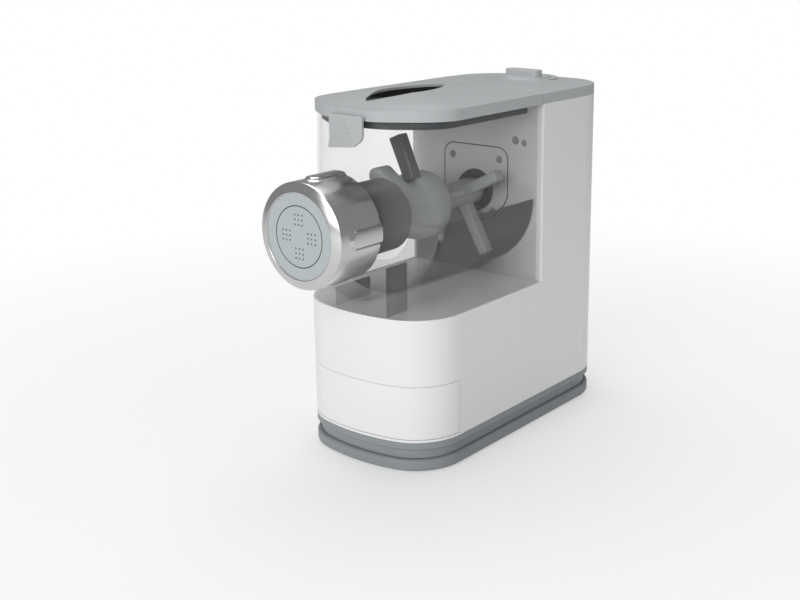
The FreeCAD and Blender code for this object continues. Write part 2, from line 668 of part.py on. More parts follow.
# Stirring paddle with its auger
hub = new_body("PaddleCore", node=False)
on_axis(hub)
hr = S["hub_r"]
dr = S["drum_r"]
ar = S["auger_core_r"]
inner_end = S["tube_inner_end"]
auger_end = S["tube_front"] - 12.0
revolve(hub, "PaddleProfile", [[
    (0.0, -S["hub_rear"]), (hr, -S["hub_rear"]), (hr, -S["hub_rear"] + 21.4), (hr - 1.0, inner_end - 76.0),
    (ar, inner_end - 62.0), (dr - 3.0, inner_end - 51.0), (dr, inner_end - 42.0), (dr, inner_end - 22.0),
    (dr - 4.0, inner_end - 1.0), (ar, inner_end + 4.0), (ar, auger_end),
    (ar - 6.0, auger_end + 9.0), (0.0, auger_end + 9.0)]])
hx = S["hex_r"] + 0.35
hexagon = [(hx * math.cos(math.radians(60 * k)), hx * math.sin(math.radians(60 * k))) for k in range(6)]
pocket(hub, "HexSocket", "XY_Plane", [hexagon], 15.0, at=-S["hub_rear"], back=True)


def bar(name, angle, r0, r1, half_w, z0, z1, tip=3.0):
    """A flat radial arm at an angle about the drive axis, rounded at its tip."""
    arm = new_body(name, node=False)
    arm.Placement = FreeCAD.Placement(V(0, 0, AXIS.value), FreeCAD.Rotation(V(1, 0, 0), 90)).multiply(
        FreeCAD.Placement(V(0, 0, 0), FreeCAD.Rotation(V(0, 0, 1), angle)))
    bind(arm, "Placement.Base.z", AXIS)
    pad(arm, name + "Arm", "XY_Plane", [
        [(r0, -half_w), (r1 - tip, -half_w), (r1, tip - half_w, tip, True), (r1, half_w - tip),
         (r1 - tip, half_w, tip, True), (r0, half_w)]], z1 - z0, at=z0)
    return arm


arms = [
    bar("ArmUpper", 27.0, 4.0, S["arm_r"] - 8.0, 4.4, 13.4 - S["hub_rear"], 27.4 - S["hub_rear"]),
    bar("ArmLower", -62.0, 4.0, S["arm_r"], 4.4, 13.4 - S["hub_rear"], 23.4 - S["hub_rear"]),
    bar("ArmHidden", 153.0, 4.0, S["arm_r"], 4.4, 13.4 - S["hub_rear"], 23.4 - S["hub_rear"]),
    bar("BladeFront", 97.0, 20.0, S["blade_r"], 4.0, inner_end - 30.0, inner_end - 16.0),
    bar("BladeBack", 277.0, 20.0, S["blade_r"], 4.0, inner_end - 30.0, inner_end - 16.0),
]
pill = new_body("Scraper", node=False)
on_axis(pill)
pad(pill, "Pill", "XY_Plane", [round_rect(-16.0, dr - 6.0, 16.0, dr + 6.0, 5.9)], 14.0, at=inner_end - 16.0)


def flight_shape(core, outer, root_w, tip_w, pitch, z0, z1, steps):
    """A helical flight as a closed shell of flat facets, with its section turned and lifted step by step."""
    count = int(math.ceil((z1 - z0) / pitch * steps))
    rings = []
    for n in range(count + 1):
        turn = 2.0 * math.pi * (z1 - z0) / pitch * n / count
        z = z0 + (z1 - z0) * n / count
        c, s = math.cos(turn), math.sin(turn)
        rings.append([V(r * c, r * s, z + dz) for r, dz in
                      ((core, -root_w), (outer, -tip_w), (outer, tip_w), (core, root_w))])
    faces = [(rings[0][0], rings[0][3], rings[0][2]), (rings[0][0], rings[0][2], rings[0][1]),
             (rings[-1][0], rings[-1][1], rings[-1][2]), (rings[-1][0], rings[-1][2], rings[-1][3])]
    for one, two in zip(rings, rings[1:]):
        for k in range(4):
            m = (k + 1) % 4
            faces.append((one[k], one[m], two[m]))
            faces.append((one[k], two[m], two[k]))
    shell_of_faces = Part.makeShell([Part.Face(Part.makePolygon([p, q, r, p])) for p, q, r in faces])
    solid = Part.makeSolid(shell_of_faces)
    if solid.Volume < 0.0:
        solid.reverse()
    return solid


flight = doc.addObject("Part::Feature", "Flight")
flight.Shape = flight_shape(ar.value - 1.0, S["auger_r"].value, 2.2, 1.4, S["auger_pitch"].value,
                            inner_end.value + 1.0, auger_end.value, 18)
flight.Placement = FreeCAD.Placement(V(0, 0, AXIS.value), FreeCAD.Rotation(V(1, 0, 0), 90))
paddle = doc.addObject("Part::MultiFuse", "stirring_paddle")
paddle.Label = "stirring_paddle"
paddle.Shapes = [hub] + arms + [pill, flight]
NODES.append(paddle)

# Drive: seal and bearing, output shaft with its gear, motor with its pinion
seal = new_body("drive_seal")
on_axis(seal)
sr = S["seal_r"]
bore = S["shaft_r"] + S["run_gap"]
ty0 = S["tower_y"]
revolve(seal, "SealProfile", [[
    (bore, -(ty0 + 7.0)), (sr + 2.0, -(ty0 + 7.0)), (sr + 2.0, -(ty0 + WALL)), (sr, -(ty0 + WALL)),
    (sr, -(ty0 - 4.5)), (hr + 1.5, -(ty0 - 4.5)), (hr + 1.5, -(S["hub_rear"] + 1.0)),
    (bore, -(S["hub_rear"] + 1.0))]])
plate = new_body("seal_plate")
pad(plate, "PlatePad", "XZ_Plane", [plate_outline(0.0), ("circle", 0.0, AXIS, sr + 0.2)], 1.4,
    at=S["tower_y"] + 1.4)


def gear_shape(teeth, module, width, phase, thin):
    """Involute spur gear about Z, three points a flank."""
    pitch_r = module * teeth / 2.0
    base_r = pitch_r * math.cos(math.radians(20.0))
    tip_r = pitch_r + module
    foot_r = pitch_r - 1.25 * module
    inv = math.tan(math.radians(20.0)) - math.radians(20.0)
    half = math.pi / (2.0 * teeth) + inv - thin / (2.0 * pitch_r)
    start = max(base_r, foot_r)
    flank = []
    for k in range(3):
        r = start + (tip_r - start) * k / 2.0
        t = math.acos(min(1.0, base_r / r))
        flank.append((r, half - (math.tan(t) - t)))
    points = []
    for n in range(teeth):
        mid = phase + 2.0 * math.pi * n / teeth
        points.append((foot_r, mid - flank[0][1]))
        for r, a in flank:
            points.append((r, mid - a))
        for r, a in reversed(flank):
            points.append((r, mid + a))
        points.append((foot_r, mid + flank[0][1]))
    corners = []
    for r, a in points:
        p = V(r * math.cos(a), r * math.sin(a), 0)
        if not corners or (p - corners[-1]).Length > 1e-4:
            corners.append(p)
    corners.append(corners[0])
    return Part.Face(Part.makePolygon(corners)).extrude(V(0, 0, width))


def val(name):
    return S[name].value


def forward(shape, z):
    """Places a shape drawn about Z on a line along Y, its Z end facing forward."""
    out = shape.copy()
    out.Placement = FreeCAD.Placement(V(0, 0, z), FreeCAD.Rotation(V(1, 0, 0), 90))
    return out


def add_feature(label, shape, z):
    f = doc.addObject("Part::Feature", label)
    f.Label = label
    f.Shape = shape
    f.Placement = FreeCAD.Placement(V(0, 0, z), FreeCAD.Rotation(V(1, 0, 0), 90))
    NODES.append(f)
    return f


g_teeth = int(round(val("gear_teeth")))
p_teeth = int(round(val("pinion_teeth")))
mod = val("gear_module")
gy = val("gear_y")
gw = val("gear_width")
centre = mod * (g_teeth + p_teeth) / 2.0
motor_z = val("axis_z") - centre
big_gear = gear_shape(g_teeth, mod, gw, -math.pi / 2.0, 0.12)
big_gear.translate(V(0, 0, -(gy + gw)))
shaft_len = gy + gw + 4.0 - (val("hub_rear") + 1.2)
shaft = Part.makeCylinder(val("shaft_r"), shaft_len, V(0, 0, -(gy + gw + 4.0)))
hex_pts = [V(val("hex_r") * math.cos(math.radians(60 * k)), val("hex_r") * math.sin(math.radians(60 * k)), 0)
           for k in range(7)]
hex_tip = Part.Face(Part.makePolygon(hex_pts)).extrude(V(0, 0, 14.0))
hex_tip.translate(V(0, 0, -(val("hub_rear") + 1.2)))
web = Part.makeCylinder(mod * g_teeth / 2.0 - 4.5, 3.0, V(0, 0, -(gy + 3.0)))
web2 = Part.makeCylinder(mod * g_teeth / 2.0 - 4.5, 3.0, V(0, 0, -(gy + gw)))
collar = Part.makeCylinder(12.0, 20.0, V(0, 0, -(gy + gw + 5.0)))
add_feature("drive_shaft", shaft.fuse(hex_tip).removeSplitter(), val("axis_z"))
gear_ring = big_gear.cut(web.cut(collar)).cut(web2.cut(collar))
gear_ring = gear_ring.cut(Part.makeCylinder(val("shaft_r"), 60.0, V(0, 0, -(gy + gw + 20.0))))
add_feature("output_gear", gear_ring, val("axis_z"))

pinion = gear_shape(p_teeth, mod, gw, math.pi / 2.0 + math.pi / p_teeth, 0.12)
pinion.translate(V(0, 0, -(gy + gw)))
rotor_len = val("motor_rear") + 2.0 - (gy - 2.0)
rotor = Part.makeCylinder(val("rotor_r"), rotor_len, V(0, 0, -(val("motor_rear") + 2.0)))
add_feature("motor_rotor", rotor.fuse(pinion).removeSplitter(), motor_z)

case_r = mod * g_teeth / 2.0 + 7.0
case_y0 = gy - 5.0
case_y1 = val("motor_front")
tower_in = val("tower_y") + val("shell_wall")
block = Part.makeBox(2 * case_r, case_y1 - tower_in, centre + case_r + 20.0,
                     V(-case_r, tower_in, motor_z - 20.0))
space = Part.makeBox(2 * case_r - 5.0, case_y1 - 2.5 - gy + 2.5, centre + case_r + 15.0,
                     V(-case_r + 2.5, gy - 2.5, motor_z - 17.5))
case = block.cut(space)
hole = Part.makeCylinder(val("seal_r") + 2.1, 20.0, V(0, tower_in - 1.0, val("axis_z")), V(0, 1, 0))
rear_hole = Part.makeCylinder(val("rotor_r") + 0.05, 20.0, V(0, case_y1 - 10.0, motor_z), V(0, 1, 0))
case = case.cut(hole).cut(rear_hole)
f = doc.addObject("Part::Feature", "gearbox_case")
f.Label = "gearbox_case"
f.Shape = case
NODES.append(f)

motor = doc.addObject("Part::Feature", "motor_can")
motor.Label = "motor_can"
can = Part.makeCylinder(val("motor_r"), val("motor_rear") - case_y1, V(0, case_y1, motor_z), V(0, 1, 0))
can = can.cut(Part.makeCylinder(val("rotor_r") + 0.05, 120.0, V(0, case_y1 - 10.0, motor_z), V(0, 1, 0)))
motor.Shape = can
NODES.append(motor)

# Storage drawer: fascia of the shell's own outline, tray behind, side runners on guides
drawer = new_body("storage_drawer")
dl = S["drawer_low"]
dh = S["drawer_high"]
dw = S["drawer_wall"]
pad(drawer, "Fascia", "XY_Plane", [plan(nose=DRAWER_BACK)], dh - dl, at=dl)
dx = S["drawer_half"]
pad(drawer, "TrayWalls", "XY_Plane", [rect(-dx, DRAWER_BACK - 2.0, dx, S["drawer_end"])],
    dh - dl - 5.0, at=dl)
run_z = dh - 14.0
pad(drawer, "Runners", "XY_Plane", [rect(-dx - 4.5, DRAWER_BACK - 1.0, dx + 4.5, S["drawer_end"])],
    3.0, at=run_z)
pocket(drawer, "TrayHollowBack", "XY_Plane",
       [rect(-dx + dw, DRAWER_BACK - dw - 2.0, dx - dw, S["drawer_end"] - dw)],
       dh - dl - dw + 5.0, at=dh + 5.0)
pocket(drawer, "TrayHollowFront", "XY_Plane", [plan(WALL, nose=DRAWER_BACK - dw)],
       dh - dl - dw + 5.0, at=dh + 5.0)
for side, label in ((-1, "drawer_guide_left"), (1, "drawer_guide_right")):
    guide = new_body(label)
    x0 = dx + 0.4
    x1 = W - WALL
    z1 = run_z - 0.3
    corners = [(side * x0, z1 - 3.0), (side * x1, z1 - 3.0), (side * x1, z1), (side * x0, z1)]
    pad(guide, "Rail" + label, "XZ_Plane", [corners], S["drawer_end"] + 12.0 - DRAWER_BACK - 4.0,
        at=S["drawer_end"] + 12.0)

doc.recompute()
bad = [o.Label for o in doc.Objects if "Invalid" in o.State or "Error" in o.State]
if bad:
    raise RuntimeError("failed objects: " + ", ".join(bad))
for obj in NODES:
    shape = obj.Shape
    if shape.isNull() or not shape.isValid():
        raise RuntimeError("bad shape: " + obj.Label)
    print("%-22s solids %d volume %9.0f  %s" % (obj.Label, len(shape.Solids), shape.Volume,
          ["%.1f" % v for v in (shape.BoundBox.XMin, shape.BoundBox.XMax, shape.BoundBox.YMin,
           shape.BoundBox.YMax, shape.BoundBox.ZMin, shape.BoundBox.ZMax)]))
for obj in NODES:
    obj.Shape.exportStep("parts/" + obj.Label + ".step")
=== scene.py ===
# %% [markdown]
# An upright kitchen pasta maker, dressed for a studio picture.
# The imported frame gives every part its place, so this lesson only adds finish and fine shape.

# %% Load the frame and keep its box
import bpy
import bmesh
import json
import math
from mathutils import Matrix, Vector


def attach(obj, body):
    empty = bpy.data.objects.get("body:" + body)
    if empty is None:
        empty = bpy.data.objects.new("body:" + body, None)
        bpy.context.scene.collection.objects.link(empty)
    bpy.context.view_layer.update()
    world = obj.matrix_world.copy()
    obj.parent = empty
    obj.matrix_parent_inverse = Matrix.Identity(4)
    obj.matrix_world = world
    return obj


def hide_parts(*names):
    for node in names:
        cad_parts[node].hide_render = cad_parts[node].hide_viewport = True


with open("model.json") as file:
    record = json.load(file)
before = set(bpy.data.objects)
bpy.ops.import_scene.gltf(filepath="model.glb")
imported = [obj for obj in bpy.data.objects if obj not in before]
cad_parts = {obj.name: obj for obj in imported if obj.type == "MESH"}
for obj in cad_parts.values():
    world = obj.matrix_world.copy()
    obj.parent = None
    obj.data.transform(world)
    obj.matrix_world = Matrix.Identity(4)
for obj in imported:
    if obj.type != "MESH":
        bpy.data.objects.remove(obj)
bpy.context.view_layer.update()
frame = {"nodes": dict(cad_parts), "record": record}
nodes = frame["nodes"]
scene = bpy.context.scene
scene.view_settings.view_transform = "Standard"
MM = 0.001
AXIS_Z = 190.5 * MM  # height of the drive axis, which runs front to back

# %% [markdown]
# The camera comes first, because every later choice is judged through it.
# Straight edges in the photograph fix where it stood: right of the front, a little above the lid.
# The lens is long, about 54 mm, so the machine looks calm and barely tapers.

# %% Camera
AZIMUTH, ELEVATION, ROLL = (math.radians(v) for v in (37.39, 14.66, -0.15))
CAMERA_AIM = Vector((0.0, 31.25 * MM, 140.0 * MM))
CAMERA_DISTANCE = 1.0038

back = Vector((math.sin(AZIMUTH) * math.cos(ELEVATION),
               -math.cos(AZIMUTH) * math.cos(ELEVATION),
               math.sin(ELEVATION)))
level = Vector((math.cos(AZIMUTH), math.sin(AZIMUTH), 0.0))
upward = back.cross(level)
across = level * math.cos(ROLL) + upward * math.sin(ROLL)
upright = upward * math.cos(ROLL) - level * math.sin(ROLL)

studio_lens = bpy.data.cameras.new("studio_camera")
studio_lens.sensor_width = 36.0
studio_lens.lens = 54.108
studio_lens.shift_x = -0.0761
studio_lens.shift_y = -0.0595
camera = bpy.data.objects.new("studio_camera", studio_lens)
scene.collection.objects.link(camera)
stand = Matrix((across, upright, back)).transposed().to_4x4()
stand.translation = CAMERA_AIM + back * CAMERA_DISTANCE
camera.matrix_world = stand
scene.camera = camera
print("camera stands at", [round(c, 4) for c in stand.translation])

# %% [markdown]
# Light for white plastic has to come from large, soft sources, or the gloss breaks into hard spots.
# The front is the brightest side in the photograph, and the rounded corner is nearly as bright.
# So the key light hangs in front and a little to the right, and the world fills the shadows.


# %% Lights
def soft_light(name, size, power, stands, looks_at):
    lamp = bpy.data.lights.new(name, "AREA")
    lamp.shape = "RECTANGLE"
    lamp.size, lamp.size_y = size
    lamp.energy = power
    holder = bpy.data.objects.new(name, lamp)
    scene.collection.objects.link(holder)
    holder.location = stands
    aim = Vector(looks_at) - Vector(stands)
    holder.rotation_euler = aim.to_track_quat("-Z", "Y").to_euler()


soft_light("key_softbox", (1.9, 1.3), 29.0, (0.55, -2.05, 0.95), (0.0, 0.0, 0.12))
soft_light("top_softbox", (1.3, 1.3), 13.5, (-0.35, 0.35, 1.6), (0.0, 0.05, 0.2))
soft_light("side_strip", (0.4, 1.3), 0.1, (1.7, 0.3, 0.7), (0.0, 0.03, 0.15))
print("lights", len(bpy.data.lights))

# %% [markdown]
# The background is pure white to the camera, also where it is seen through the clear chamber.
# For every other ray the world is a dim, slightly cool fill, so white plastic doesn't wash out.


# %% World
def sky_light(sky, color, strength):
    made = sky.nodes.new("ShaderNodeBackground")
    made.inputs["Color"].default_value = (*color, 1.0)
    made.inputs["Strength"].default_value = strength
    return made.outputs[0]


world = bpy.data.worlds.new("studio_world")
scene.world = world
world.use_nodes = True
sky = world.node_tree
sky.nodes.clear()
sky_out = sky.nodes.new("ShaderNodeOutputWorld")
sky_mix = sky.nodes.new("ShaderNodeMixShader")
seen = sky.nodes.new("ShaderNodeLightPath")
seen_or_through = sky.nodes.new("ShaderNodeMath")
seen_or_through.operation = "MAXIMUM"
sky.links.new(seen.outputs["Is Camera Ray"], seen_or_through.inputs[0])
sky.links.new(seen.outputs["Is Transmission Ray"], seen_or_through.inputs[1])
sky.links.new(seen_or_through.outputs[0], sky_mix.inputs["Fac"])
sky.links.new(sky_light(sky, (0.97, 0.98, 1.0), 0.30), sky_mix.inputs[1])
sky.links.new(sky_light(sky, (1.0, 1.0, 1.0), 1.0), sky_mix.inputs[2])
sky.links.new(sky_mix.outputs[0], sky_out.inputs[0])
print("world nodes", len(sky.nodes))

# %% [markdown]
# A finish is written as Python maths: a Wire stands for one socket, and adding or multiplying wires
# adds the nodes. One method makes every other node, so each finish reads like a short recipe.


# %% Wires
class Wire:
    """One output socket that can be calculated with."""

    def __init__(self, finish, socket):
        self.finish, self.socket = finish, socket

    def maths(self, operation, *values):
        return self.finish.node("ShaderNodeMath", {"operation": operation}, dict(enumerate(values)))

    def __add__(self, other):
        return self.maths("ADD", self, other)

    def __mul__(self, other):
        return self.maths("MULTIPLY", self, other)

    def __sub__(self, other):
        return self.maths("SUBTRACT", self, other)

    def __rsub__(self, other):
        return self.maths("SUBTRACT", other, self)

    __radd__, __rmul__ = __add__, __mul__


# %% [markdown]
# A Finish holds one material. Its plain numbers sit on the shader's own sockets, where other
# programs can read them, and only what varies over the surface is wired.

# %% Finish
MIX_FACTOR, MIX_FIRST, MIX_SECOND, MIX_RESULT = 0, 6, 7, 2  # sockets of a colour Mix node


class Finish:
    """A material whose shader has its plain numbers set on the sockets."""

    def __init__(self, name, color, roughness, **sockets):
        self.material = bpy.data.materials.new(name)
        self.material.use_nodes = True
        self.tree = self.material.node_tree
        self.shader = self.tree.nodes["Principled BSDF"]
        self.shader.inputs["Base Color"].default_value = (*color, 1.0)
        self.shader.inputs["Roughness"].default_value = roughness
        for socket, value in sockets.items():
            self.shader.inputs[socket.replace("_", " ")].default_value = value

    def node(self, kind, settings, sockets, out=0):
        made = self.tree.nodes.new(kind)
        for name, value in settings.items():
            setattr(made, name, value)
        for key, value in sockets.items():
            if isinstance(value, Wire):
                self.tree.links.new(value.socket, made.inputs[key])
            else:
                made.inputs[key].default_value = value
        return Wire(self, made.outputs[out])

    def here(self):
        return self.node("ShaderNodeTexCoord", {}, {}, "Object")

    def place(self, scale=(1.0, 1.0, 1.0)):
        return self.node("ShaderNodeMapping", {}, {"Vector": self.here(), "Scale": scale})

    def grain(self, scale, detail=2.0, rough=0.5, where=None):
        return self.node("ShaderNodeTexNoise", {}, {
            "Vector": where or self.place(), "Scale": scale, "Detail": detail, "Roughness": rough,
        }, "Fac")

    def vector(self, operation, *values, out=0):
        return self.node("ShaderNodeVectorMath", {"operation": operation},
                         dict(enumerate(values)), out)

    def tint(self, factor, first, second):
        return self.node("ShaderNodeMix", {"data_type": "RGBA"}, {
            MIX_FACTOR: factor, MIX_FIRST: (*first, 1.0), MIX_SECOND: (*second, 1.0),
        }, MIX_RESULT)

    def ramp(self, value, start, end, low=0.0, high=1.0):
        return self.node("ShaderNodeMapRange", {}, {
            "Value": value, "From Min": start, "From Max": end, "To Min": low, "To Max": high})

    def drive(self, socket, wire):
        self.tree.links.new(wire.socket, self.shader.inputs[socket])
        return self

    def bump(self, height, strength, distance):
        made = self.node("ShaderNodeBump", {}, {
            "Height": height, "Strength": strength, "Distance": distance}, "Normal")
        return self.drive("Normal", made)


# %% [markdown]
# Three recipes cover nearly everything. Moulded plastic has a faint orange peel, brushed metal has
# fine lines round its axis, and clear plastic is densest where its wall is seen edge on.

# %% Recipes
PEEL_SCALE = 420.0


def scaled(color, factor):
    return [min(1.0, c * factor) for c in color]


def moulded(name, color, roughness, grain=0.05, speckle=0.02, **sockets):
    """Injection-moulded plastic: an orange peel, and colour and gloss that drift a little."""
    f = Finish(name, color, roughness, **sockets)
    drift = f.grain(14.0, 3.0)
    f.drive("Base Color", f.tint(drift, scaled(color, 1.0 - speckle), scaled(color, 1.0 + speckle)))
    f.drive("Roughness", drift * 0.06 + (roughness - 0.03))
    f.bump(f.grain(PEEL_SCALE), grain, 0.2 * MM)
    return f.material


def brushed(name, color, roughness):
    """Metal brushed round the drive axis: its fine lines vary quickly along the axis."""
    f = Finish(name, color, roughness, Metallic=1.0)
    lines = f.grain(1.0, 3.0, 0.6, f.place(scale=(60.0, 4200.0, 60.0)))
    cloud = f.grain(30.0)
    f.drive("Roughness", lines * 0.16 + (roughness - 0.08) + cloud * 0.03)
    f.drive("Base Color", f.tint(lines, scaled(color, 0.90), scaled(color, 1.08)))
    f.bump(lines, 0.05, 0.05 * MM)
    return f.material


def clear(name, color, head_on, edge_on):
    """Clear plastic: nearly see-through head on, and denser where the wall is seen edge on."""
    f = Finish(name, color, 0.05, Specular_IOR_Level=0.8, Coat_Weight=0.6, Coat_Roughness=0.03)
    facing = f.node("ShaderNodeLayerWeight", {}, {"Blend": 0.15}, "Facing")
    f.drive("Alpha", facing * (edge_on - head_on) + f.grain(60.0, 1.0) * 0.02 + head_on)
    return f.material


# %% [markdown]
# The machine has few finishes: glossy white housing, satin cool gray lid and base, mid gray paddle,
# a clear chamber and one brushed metal nut. Each is mixed once here and used by name.

# %% Finishes
white_gloss = moulded("white_gloss", (0.84, 0.84, 0.83), 0.22, 0.03, 0.01,
                      Coat_Weight=0.3, Coat_Roughness=0.08)
lid_gray = moulded("lid_gray", (0.47, 0.49, 0.495), 0.30, 0.08, 0.02,
                   Coat_Weight=0.2, Coat_Roughness=0.15)
base_gray = moulded("base_gray", (0.27, 0.29, 0.30), 0.42, 0.12, 0.03)
paddle_gray = moulded("paddle_gray", (0.33, 0.345, 0.352), 0.38, 0.08, 0.03)
# The blade is the paddle's own gray plastic; this darker copy is painted shade on the side turned
# from the light.
blade_painted_shade = moulded("blade_painted_shade", (0.10, 0.106, 0.11), 0.38, 0.08, 0.03)
tube_gray = moulded("tube_gray", (0.15, 0.155, 0.162), 0.40, 0.10, 0.03)
mark_gray = moulded("mark_gray", (0.30, 0.30, 0.30), 0.45, 0.05, 0.02)
skirt_dark = moulded("skirt_dark", (0.03, 0.033, 0.036), 0.35, 0.08, 0.03)
black_rubber = moulded("black_rubber", (0.012, 0.012, 0.013), 0.55, 0.25, 0.05)
# Black plastic for the inlet, the switch and the gasket; on the slot guard the same black is
# painted shade.
black_plastic = moulded("black_plastic", (0.02, 0.02, 0.021), 0.35, 0.10, 0.03)
gear_cream = moulded("gear_cream", (0.62, 0.61, 0.56), 0.45, 0.10, 0.03)
board_green = moulded("board_green", (0.02, 0.12, 0.06), 0.40, 0.10, 0.10)
case_paint = moulded("case_paint", (0.30, 0.31, 0.32), 0.45, 0.15, 0.03)
nut_steel = brushed("nut_steel", (0.66, 0.655, 0.645), 0.20)
shaft_steel = brushed("shaft_steel", (0.55, 0.55, 0.55), 0.30)
chamber_clear = clear("chamber_clear", (0.46, 0.455, 0.44), 0.025, 0.30)
rib_smoke = clear("rib_smoke", (0.10, 0.098, 0.094), 0.04, 0.9)
trough_smoke = clear("trough_smoke", (0.55, 0.545, 0.53), 0.10, 0.5)
print("finishes", len(bpy.data.materials))

# %% [markdown]
# The front corners of the real chamber lean in towards the top, as a mould's draft makes them.
# The lid follows them. So each point ahead of the middle is drawn inwards, most at the corners.

# %% Draft of the chamber and the lid
HALF_WIDTH = 67.5  # of the whole machine, in millimetres
DRAFT_LOW, DRAFT_HIGH = 121.5, 267.0  # heights where the draft begins and is full
DRAFT_START_Y, DRAFT_RUN = -50.0, 50.0
DRAFT_FRONT, DRAFT_CORNER = 1.3, 6.2  # how far the flat front and the corners are drawn in
SKIRT_LOW = 261.0
TUBE_CORE_R, TUBE_COLLAR_F = 27.5, 104.0


def ease(t):
    t = min(1.0, max(0.0, t))
    return t * t * (3.0 - 2.0 * t)


def drawn_in(v, amount):
    x, y = v.co.x / MM, v.co.y / MM
    ahead = ease((DRAFT_START_Y - y) / DRAFT_RUN)
    corner = ease((abs(x) / HALF_WIDTH - 0.25) / 0.5)
    inward = amount * ahead * (DRAFT_FRONT + DRAFT_CORNER * corner)
    sideways = math.copysign(min(1.0, max(0.0, (abs(x) - 20.0) / 40.0)), x)
    v.co -= Vector((sideways, -1.0, 0.0)).normalized() * inward * MM


def chamber_draft(v):
    drawn_in(v, ease((v.co.z / MM - DRAFT_LOW) / (DRAFT_HIGH - DRAFT_LOW)))


def lid_draft(v):
    drawn_in(v, 1.0)


def shallow_skirt(v):
    """The skirt shows as a narrow strip, so its lower edge is lifted."""
    drawn_in(v, 1.0)
    v.co.z = max(v.co.z, SKIRT_LOW * MM)


def narrowed_tube(v):
    """The tube behind the nut is slimmer than its collar, so the paddle shows past it."""
    x, z, f = v.co.x / MM, (v.co.z - AXIS_Z) / MM, -v.co.y / MM
    r = math.hypot(x, z)
    if r > TUBE_CORE_R and f < TUBE_COLLAR_F:
        slim = (TUBE_CORE_R + (r - TUBE_CORE_R) * 0.2) / r
        v.co.x, v.co.z = x * slim * MM, AXIS_Z + z * slim * MM


# %% [markdown]
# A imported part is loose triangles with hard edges, and a moulded part has small round edges that
# catch the light. So each part that shows is copied, its triangles are joined, and a narrow bevel
# runs along its sharp edges. The copy stands for the part and rides on the same body.

# %% Tools for dressing
WELD = 0.002 * MM
FLAT_ANGLE, SHARP_ANGLE = 0.3, 30.0  # below the first, faces are one; above the second, an edge
BODY_OF = {node: body for body, names in frame["record"]["behaviour"]["bodies"].items()
           for node in names}


def finish_piece(piece, material, body, stands_for=()):
    piece.data.materials.clear()
    piece.data.materials.append(material)
    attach(piece, body)
    if stands_for:
        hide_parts(*stands_for)
    return piece


def bevel(piece, width):
    edge = piece.modifiers.new("edge_round", "BEVEL")
    edge.width = width
    edge.segments = 3
    edge.limit_method = "ANGLE"
    edge.angle_limit = math.radians(SHARP_ANGLE)
    edge.harden_normals = True
    edge.use_clamp_overlap = True


def smooth(mesh, angle):
    """Shades faces round and keeps edges sharp where faces meet at more than the angle."""
    bm = bmesh.new()
    bm.from_mesh(mesh)
    for face in bm.faces:
        face.smooth = True
    for edge in bm.edges:
        inner = len(edge.link_faces) == 2
        edge.smooth = inner and edge.calc_face_angle(0.0) < math.radians(angle)
    bm.to_mesh(mesh)
    bm.free()


def welded(mesh):
    """A mesh's triangles, joined along their shared edges."""
    bm = bmesh.new()
    bm.from_mesh(mesh)
    bmesh.ops.remove_doubles(bm, verts=bm.verts, dist=WELD)
    return bm


def dressed(node, material, width, shaped=None):
    mesh = nodes[node].data.copy()
    mesh.name = node + "_dressed"
    for name in [a.name for a in mesh.color_attributes]:
        mesh.color_attributes.remove(mesh.color_attributes[name])
    bm = welded(mesh)
    bmesh.ops.dissolve_limit(bm, angle_limit=math.radians(FLAT_ANGLE), verts=bm.verts,
                             edges=bm.edges)
    for v in bm.verts if shaped else ():
        shaped(v)
    bm.to_mesh(mesh)
    bm.free()
    smooth(mesh, SHARP_ANGLE)
    piece = bpy.data.objects.new(node + "_dressed", mesh)
    scene.collection.objects.link(piece)
    if width:
        bevel(piece, width * MM)
    return finish_piece(piece, material, BODY_OF[node], (node,))


# %% [markdown]
# One table says what each part is made of and how wide its edges are rounded, in millimetres.
# Hidden parts are dressed too, because the lid, the chamber and the drawer all come off.

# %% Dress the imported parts
LOOK = {
    "housing_shell": (white_gloss, 0.7),
    "storage_drawer": (white_gloss, 0.5),
    "base_frame": (base_gray, 0.8),
    "base_tray": (base_gray, 0.8),
    "top_cap": (lid_gray, 0.8),
    "knob_ring": (lid_gray, 0.6),
    "selector_knob": (lid_gray, 0.8),
    "lid_panel": (lid_gray, 0.8),
    "lid_skirt": (skirt_dark, 0.4),
    "extrusion_tube": (tube_gray, 0.5),
    "drive_seal": (black_rubber, 0.4),
    "seal_plate": (white_gloss, 0.3),
    "drive_shaft": (shaft_steel, 0.3),
    "mixing_chamber": (chamber_clear, 0.3),
    "power_inlet": (black_plastic, 0.3),
    "output_gear": (gear_cream, 0.0),
    "motor_rotor": (shaft_steel, 0.0),
    "gearbox_case": (case_paint, 0.5),
    "motor_can": (case_paint, 0.5),
    "selector_switch": (black_plastic, 0.3),
    "control_board": (board_green, 0.0),
    "drawer_guide_left": (white_gloss, 0.3),
    "drawer_guide_right": (white_gloss, 0.3),
    **{"rubber_foot_%d" % k: (black_rubber, 0.3) for k in range(1, 5)},
}
SHAPED = {
    "mixing_chamber": chamber_draft,
    "extrusion_tube": narrowed_tube,
    "lid_panel": lid_draft,
    "lid_skirt": shallow_skirt,
}
for node, (material, width) in LOOK.items():
    dressed(node, material, width, SHAPED.get(node))
print("dressed parts", len(LOOK))

# %% [markdown]
# Most added pieces start as a section that is spun, or as a flat outline that is pushed to a slab.
# These few tools make both, round their edges and hand them over as finished pieces.


# %% Tools for new pieces
def to_piece(name, bm, material, body, stands_for=(), angle=SHARP_ANGLE):
    mesh = bpy.data.meshes.new(name)
    bm.to_mesh(mesh)
    bm.free()
    smooth(mesh, angle)
    piece = bpy.data.objects.new(name, mesh)
    scene.collection.objects.link(piece)
    print(name, "faces", len(mesh.polygons))
    return finish_piece(piece, material, body, stands_for)


